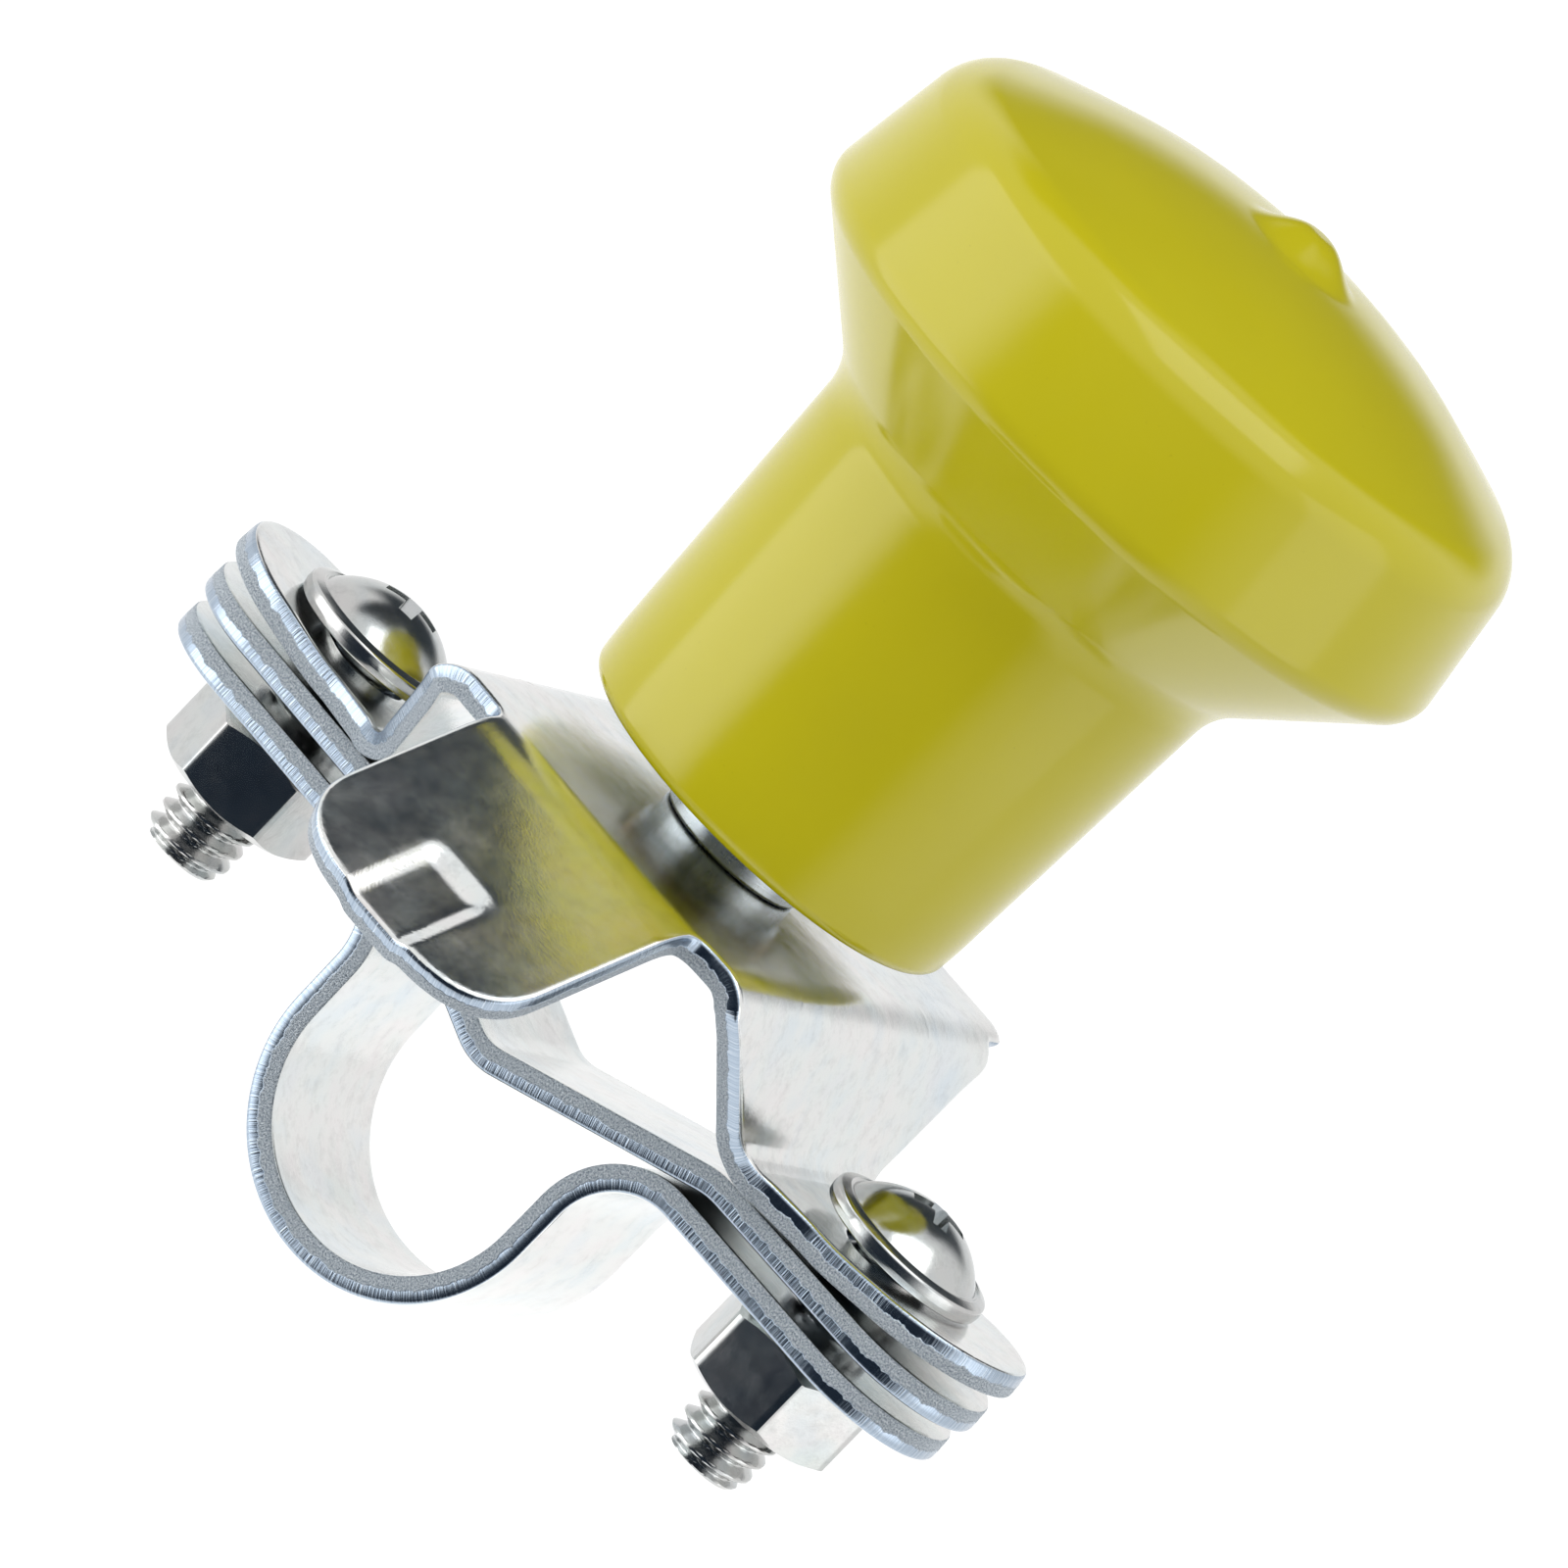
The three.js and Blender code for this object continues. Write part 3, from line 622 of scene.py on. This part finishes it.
    piece("bracket", bent(bm, move), [ZINC_SHEET, EDGE], "bracket")


# ------------------------------------------------------------------ turned pieces
def lathe(profile, segments=128, x=0.0, y=0.0):
    """Closed solid of revolution about a vertical line; profile is (radius, height)."""
    bm = bmesh.new()
    rings = []
    for radius, height in profile:
        if radius < 1e-6:
            rings.append([bm.verts.new((x * MM, y * MM, height * MM))])
            continue
        ring = []
        for k in range(segments):
            a = 2 * math.pi * k / segments
            spot = (x + radius * math.cos(a), y + radius * math.sin(a), height)
            ring.append(bm.verts.new([c * MM for c in spot]))
        rings.append(ring)
    closed = profile[0][0] > 1e-6
    pairs = list(zip(rings, rings[1:])) + ([(rings[-1], rings[0])] if closed else [])
    for low, high in pairs:
        for k in range(segments):
            j = (k + 1) % segments
            if len(low) == 1 and len(high) == 1:
                continue
            if len(low) == 1:
                bm.faces.new((low[0], high[j], high[k]))
            elif len(high) == 1:
                bm.faces.new((low[k], low[j], high[0]))
            else:
                bm.faces.new((low[k], low[j], high[j], high[k]))
    return bm


def knob():
    base = KNOB_BASE
    bore_r, bore_top = 6.5, base + 20.2
    flank = rounded([
        (bore_r + 0.4, 0, 0), (14.85, 0, 1.0), (15.1, 2.4, 30), (16.3, 25.4, 4.6),
        (25.78, 34.2, 2.3), (24.15, 45.3, 4.4), (19.4, 47.1, 10), (15.6, 48.45, 0),
    ], 2.5)
    edge_r, dome_h = 19.6, 3.7
    sphere = (edge_r ** 2 + dome_h ** 2) / (2 * dome_h)
    top = KNOB_TOP - base - NUB_LIFT
    dome = [(r, top - sphere + math.sqrt(sphere ** 2 - r * r)) for r in (14, 12, 10, 8.4, 7.0, 6.0)]
    nub = []
    for k in range(1, 22):
        r = 5.8 * (1 - k / 22)
        lift = min(1.0, (4.7 - r) / 4.0) if r < 4.7 else 0.0
        foot = top - sphere + math.sqrt(sphere ** 2 - r * r)
        nub.append((r, foot + NUB_LIFT * lift * lift * (3 - 2 * lift)))
    nub.append((0, KNOB_TOP - base))
    bore = [
        (0, bore_top - base), (bore_r - 2.5, bore_top - base), (bore_r, bore_top - base - 2),
        (bore_r, 0.4),
    ]
    profile = [(r, z + base) for r, z in bore + flank + dome + nub]
    piece("knob", lathe(profile, 192), [YELLOW], "knob", 50)


def bearing():
    """Spindle, washer, bushing and ring, turned at the CAD's places with broken edges."""
    journal = 4.0
    low, high = span("spindle", 2)
    rivet_top = PLATE_TOP - SHEET - 0.05
    shoulder_top = span("thrust_washer", 2)[0] - 0.1
    ring_low, ring_high = span("retaining_ring", 2)
    profile = rounded([
        (0, low, 0), (3.4, low, 1.2), (5.4, rivet_top - 0.6, 0.5), (5.4, rivet_top, 0.1),
        (3.2, rivet_top, 0.1), (3.2, PLATE_TOP + 0.05, 0.1), (5.5, PLATE_TOP + 0.05, 0.25),
        (5.5, shoulder_top, 0.25), (journal, shoulder_top, 0.1), (journal, ring_low - 0.2, 0.05),
        (3.1, ring_low - 0.2, 0.05), (3.1, ring_high + 0.2, 0.05), (journal, ring_high + 0.2, 0.05),
        (journal, high - 0.8, 0.2), (journal - 0.8, high, 0.2), (0, high, 0),
    ], 12)
    piece("spindle", lathe(profile, 96), [TURNED], "bracket")
    for node, inner, outer, body, material, slot in (
        ("thrust_washer", 4.2, 5.9, "bracket", TURNED, "spindle_steel"),
        ("bushing", 4.15, 6.2, "knob", BRASS, "bushing_brass"),
    ):
        z0, z1 = span(node, 2)
        ring = rounded([
            (inner, z0, 0.15), (outer, z0, 0.2), (outer, z1, 0.2), (inner, z1, 0.15),
        ], 20, closed=True)
        piece(node, lathe(ring, 96), [material], body)
    retaining_ring(ring_low, ring_high)


def retaining_ring(z0, z1):
    """C-shaped ring, swept round all but its mouth."""
    section = rounded([(3.3, z0, 0.15), (5.8, z0, 0.2), (5.8, z1, 0.2), (3.3, z1, 0.15)], 20, closed=True)
    bm = bmesh.new()
    opening = math.radians(34)
    rings = []
    for k in range(73):
        a = math.pi / 2 + opening + (2 * math.pi - 2 * opening) * k / 72
        rings.append([
            bm.verts.new((r * math.cos(a) * MM, r * math.sin(a) * MM, z * MM)) for r, z in section
        ])
    for low, high in zip(rings, rings[1:]):
        for i in range(len(section)):
            j = (i + 1) % len(section)
            bm.faces.new((low[i], low[j], high[j], high[i]))
    bm.faces.new(rings[0])
    bm.faces.new(rings[-1][::-1])
    piece("retaining_ring", bm, [TURNED], "bracket")


# ------------------------------------------------------------------ screws and nuts
PITCH = 1.27
THREAD_R = 3.15
THREAD_DEPTH = 0.76
HEAD_R = 6.35


def thread(bm, x, z0, z1, around=72, per_turn=18):
    """Helical thread as one skin round the screw's core, tapering in at the tip."""
    rows = int((z1 - z0) / PITCH * per_turn)
    rings = []
    for i in range(rows + 1):
        z = z0 + (z1 - z0) * i / rows
        lead = min(1.0, 0.25 + (z - z0) / (PITCH * 0.8))
        ring = []
        for k in range(around):
            a = 2 * math.pi * k / around
            phase = ((z - z0) / PITCH - a / (2 * math.pi)) % 1.0
            flank = abs(phase - 0.5) * 2
            height = min(1.0, max(0.0, (flank - 0.10) / 0.74))
            radius = THREAD_R - THREAD_DEPTH * (1 - height)
            radius = min(radius, THREAD_R - THREAD_DEPTH * (1 - lead))
            ring.append(bm.verts.new(((x + radius * math.cos(a)) * MM, radius * math.sin(a) * MM, z * MM)))
        rings.append(ring)
    for low, high in zip(rings, rings[1:]):
        for k in range(around):
            j = (k + 1) % around
            bm.faces.new((low[k], low[j], high[j], high[k]))
    bm.faces.new(rings[0][::-1])
    bm.faces.new(rings[-1])


def recess_cutter(x, z_top, turn):
    """Cross recess: two tapering blades."""
    bm = bmesh.new()
    for quarter in (0, math.pi / 2):
        turned = Matrix.Rotation(turn + quarter, 3, "Z")
        corners = []
        for z, half_long, half_wide in ((-2.3, 1.2, 0.42), (0.9, 2.7, 0.66)):
            for sx, sy in ((-1, -1), (1, -1), (1, 1), (-1, 1)):
                corner = turned @ Vector((sx * half_long, sy * half_wide, z + z_top)) + Vector((x, 0, 0))
                corners.append(bm.verts.new(corner * MM))
        bm.faces.new(corners[3::-1])
        bm.faces.new(corners[4:])
        for k in range(4):
            j = (k + 1) % 4
            bm.faces.new((corners[k], corners[j], corners[4 + j], corners[4 + k]))
    mesh = bpy.data.meshes.new("recess")
    bm.to_mesh(mesh)
    bm.free()
    cutter = bpy.data.objects.new("recess", mesh)
    bpy.context.scene.collection.objects.link(cutter)
    return cutter


def apply_modifiers(made):
    """Bakes an object's modifiers into its mesh."""
    graph = bpy.context.evaluated_depsgraph_get()
    mesh = bpy.data.meshes.new_from_object(made.evaluated_get(graph))
    made.modifiers.clear()
    made.data = mesh


def screw(name, x, turn):
    head_z = SCREW_TOP - HEAD_H
    crown_r = HEAD_R - 1.2
    rise = 2.5
    sphere = (crown_r ** 2 + rise ** 2) / (2 * rise)
    crown = []
    for k in range(19):
        r = crown_r * (1 - k / 19)
        crown.append((r, SCREW_TOP - sphere + math.sqrt(sphere ** 2 - r * r)))
    rim = rounded([
        (3.1, head_z - 1.0, 0), (3.1, head_z, 0.3), (HEAD_R - 0.1, head_z, 0.15),
        (HEAD_R, head_z + 0.5, 0.2), (HEAD_R - 0.05, head_z + 1.15, 0.3), (HEAD_R - 0.85, head_z + 1.45, 0.2),
        (HEAD_R - 1.05, head_z + 1.2, 0.12), (crown[0][0], crown[0][1], 0),
    ], 12)
    head = lathe([(0, head_z - 1.0)] + rim + crown[1:] + [(0, SCREW_TOP)], 128, x)
    mesh = bpy.data.meshes.new("head")
    head.to_mesh(mesh)
    head.free()
    made = bpy.data.objects.new("head", mesh)
    bpy.context.scene.collection.objects.link(made)
    cutter = recess_cutter(x, SCREW_TOP, turn)
    cut = made.modifiers.new("recess", "BOOLEAN")
    cut.operation = "DIFFERENCE"
    cut.solver = "EXACT"
    cut.use_self = True
    cut.object = cutter
    apply_modifiers(made)
    bm = bmesh.new()
    bm.from_mesh(made.data)
    bpy.data.objects.remove(made)
    bpy.data.objects.remove(cutter)
    thread(bm, x, SCREW_TIP, head_z - 0.6)
    piece(name, bm, [ZINC_BOLT], "bracket", 28)


def nut(name, x, turn):
    """Hexagon nut with both faces chamfered and a countersunk bore."""
    flats = 11.1
    corner = flats / math.sqrt(3)
    segments = 144
    bore = 3.3
    z0, z1 = NUT_BOTTOM, NUT_TOP

    def hexagon(a):
        local = (a - turn) % (math.pi / 3) - math.pi / 6
        sharp = flats / 2 / math.cos(local)
        return min(sharp, corner - 0.10)

    def chamfer(radius):
        return max(0.0, (radius - (flats / 2 - 0.25)) * 0.62)

    bm = bmesh.new()
    rings = []
    levels = []
    for radius, drop in ((bore, 0.7), (bore + 0.55, 0.0), (flats / 2 - 0.25, 0.0)):
        levels.append((lambda a, r=radius: r, lambda r, d=drop: z1 - d))
    levels.append((hexagon, lambda r: z1 - chamfer(r)))
    levels.append((hexagon, lambda r: z0 + chamfer(r)))
    for radius, drop in ((flats / 2 - 0.25, 0.0), (bore + 0.55, 0.0), (bore, 0.7)):
        levels.append((lambda a, r=radius: r, lambda r, d=drop: z0 + d))
    for radius_at, height_at in levels:
        ring = []
        for k in range(segments):
            a = turn + 2 * math.pi * k / segments
            r = radius_at(a)
            ring.append(bm.verts.new(((x + r * math.cos(a)) * MM, r * math.sin(a) * MM, height_at(r) * MM)))
        rings.append(ring)
    for low, high in zip(rings, rings[1:] + rings[:1]):
        for k in range(segments):
            j = (k + 1) % segments
            bm.faces.new((low[k], low[j], high[j], high[k]))
    piece(name, bm, [ZINC_BOLT], name, 20)


upper_jaw()
lower_jaw()
bracket()
knob()
bearing()
screw("screw_left", -SCREW_X, 0.35)
screw("screw_right", SCREW_X, 0.62)
nut("nut_left", -SCREW_X, 0.32)
nut("nut_right", SCREW_X, 0.02)


# ------------------------------------------------------------------ stage
FLOOR_Z = -0.30              # metres


def white_for_seen_rays(s):
    """1 for camera, glossy and transmission rays, 0 for the rest."""
    path = s.node("LightPath")
    seen = s.math("MAXIMUM", path.outputs["Is Camera Ray"], path.outputs["Is Glossy Ray"])
    return s.math("MAXIMUM", seen, path.outputs["Is Transmission Ray"])


def make_floor():
    bm = bmesh.new()
    bmesh.ops.create_grid(bm, x_segments=24, y_segments=24, size=6.0)
    for vertex in bm.verts:
        vertex.co.z = FLOOR_Z
    mesh = bpy.data.meshes.new("floor")
    bm.to_mesh(mesh)
    bm.free()
    floor = bpy.data.objects.new("floor", mesh)
    bpy.context.scene.collection.objects.link(floor)
    s = Shader("floor")
    s.surface.inputs["Base Color"].default_value = (0.82, 0.82, 0.82, 1)
    s.surface.inputs["Roughness"].default_value = 0.9
    s.surface.inputs["Specular IOR Level"].default_value = 0.0
    s.surface.inputs["Emission Color"].default_value = (1, 1, 1, 1)
    s.join(s.math("MULTIPLY", white_for_seen_rays(s), 0.66), s.surface.inputs["Emission Strength"])
    mesh.materials.append(s.material)


def make_world():
    world = bpy.data.worlds.new("world")
    bpy.context.scene.world = world
    world.use_nodes = True
    tree = world.node_tree
    background = tree.nodes["Background"]
    background.inputs["Color"].default_value = (1, 1, 1, 1)
    path = tree.nodes.new("ShaderNodeLightPath")
    seen = None
    for ray in ("Is Camera Ray", "Is Glossy Ray", "Is Transmission Ray"):
        if seen is None:
            seen = path.outputs[ray]
            continue
        either = tree.nodes.new("ShaderNodeMath")
        either.operation = "MAXIMUM"
        tree.links.new(seen, either.inputs[0])
        tree.links.new(path.outputs[ray], either.inputs[1])
        seen = either.outputs[0]
    level = tree.nodes.new("ShaderNodeMapRange")
    level.inputs["To Min"].default_value = 0.56
    level.inputs["To Max"].default_value = 1.0
    tree.links.new(seen, level.inputs["Value"])
    tree.links.new(level.outputs["Result"], background.inputs["Strength"])


def compass(azimuth, elevation):
    """Direction from the object, at an azimuth measured from the camera's and an elevation."""
    a = AZIMUTH + math.radians(azimuth)
    e = math.radians(elevation)
    return Vector((math.sin(a) * math.cos(e), -math.cos(a) * math.cos(e), math.sin(e)))


def softbox(name, direction, distance, size, power):
    data = bpy.data.lights.new(name, "AREA")
    data.shape = "RECTANGLE"
    data.size, data.size_y = size
    data.energy = power
    lamp = bpy.data.objects.new(name, data)
    bpy.context.scene.collection.objects.link(lamp)
    lamp.matrix_world = Matrix.Translation(AIM + direction * distance) @ (
        direction.to_track_quat("Z", "Y").to_matrix().to_4x4()
    )
    lamp.visible_camera = False


def flag(name, azimuths, elevations, shade, radius=0.27, soft=0.18):
    """Dark studio flag: a patch of a sphere seen only in reflections, fading out at its rim."""
    bm = bmesh.new()
    uv = bm.loops.layers.uv.new("patch")
    across, tall = 24, 16
    grid = []
    for i in range(tall + 1):
        e = elevations[0] + (elevations[1] - elevations[0]) * i / tall
        row = []
        for k in range(across + 1):
            a = azimuths[0] + (azimuths[1] - azimuths[0]) * k / across
            row.append(bm.verts.new(AIM + compass(a, e) * radius))
        grid.append(row)
    for i in range(tall):
        for k in range(across):
            face = bm.faces.new((grid[i][k], grid[i][k + 1], grid[i + 1][k + 1], grid[i + 1][k]))
            for corner, (p, q) in zip(face.loops, ((k, i), (k + 1, i), (k + 1, i + 1), (k, i + 1))):
                corner[uv].uv = (p / across, q / tall)
    mesh = bpy.data.meshes.new(name)
    bm.to_mesh(mesh)
    bm.free()
    card = bpy.data.objects.new(name, mesh)
    bpy.context.scene.collection.objects.link(card)
    for ray in ("camera", "diffuse", "transmission", "volume_scatter", "shadow"):
        setattr(card, "visible_" + ray, False)
    s = Shader(name)
    place = s.node("UVMap", uv_map="patch")
    split = s.node("SeparateXYZ")
    s.join(place.outputs["UV"], split.inputs["Vector"])
    cover = None
    for axis in ("X", "Y"):
        near = s.range(split.outputs[axis], 0, 1, 0, soft)
        far = s.range(split.outputs[axis], 1, 0, 1 - soft, 1)
        edge = s.math("MULTIPLY", near, far)
        cover = edge if cover is None else s.math("MULTIPLY", cover, edge)
    clear = s.node("BsdfTransparent")
    dark = s.node("Emission", Color=shade, Strength=1.0)
    both = s.node("MixShader")
    s.join(cover, both.inputs[0])
    s.join(clear.outputs[0], both.inputs[1])
    s.join(dark.outputs[0], both.inputs[2])
    s.join(both.outputs[0], s.tree.nodes["Material Output"].inputs["Surface"])
    mesh.materials.append(s.material)


make_floor()
make_world()
softbox("softbox_left", compass(-70, -2), 0.45, (0.46, 0.50), 1.15)
softbox("softbox_right", compass(72, 10), 0.6, (0.36, 0.60), 0.6)
softbox("softbox_top", compass(20, 68), 0.6, (0.50, 0.40), 1.1)
flag("flag_front", (-54, 48), (-62, 30), (0.020, 0.030, 0.045, 1))
flag("flag_back", (128, 222), (20, 78), (0.05, 0.06, 0.07, 1))
flag("flag_over", (-185, -85), (44, 86), (0.035, 0.042, 0.050, 1))

bpy.context.scene.view_settings.view_transform = "Standard"
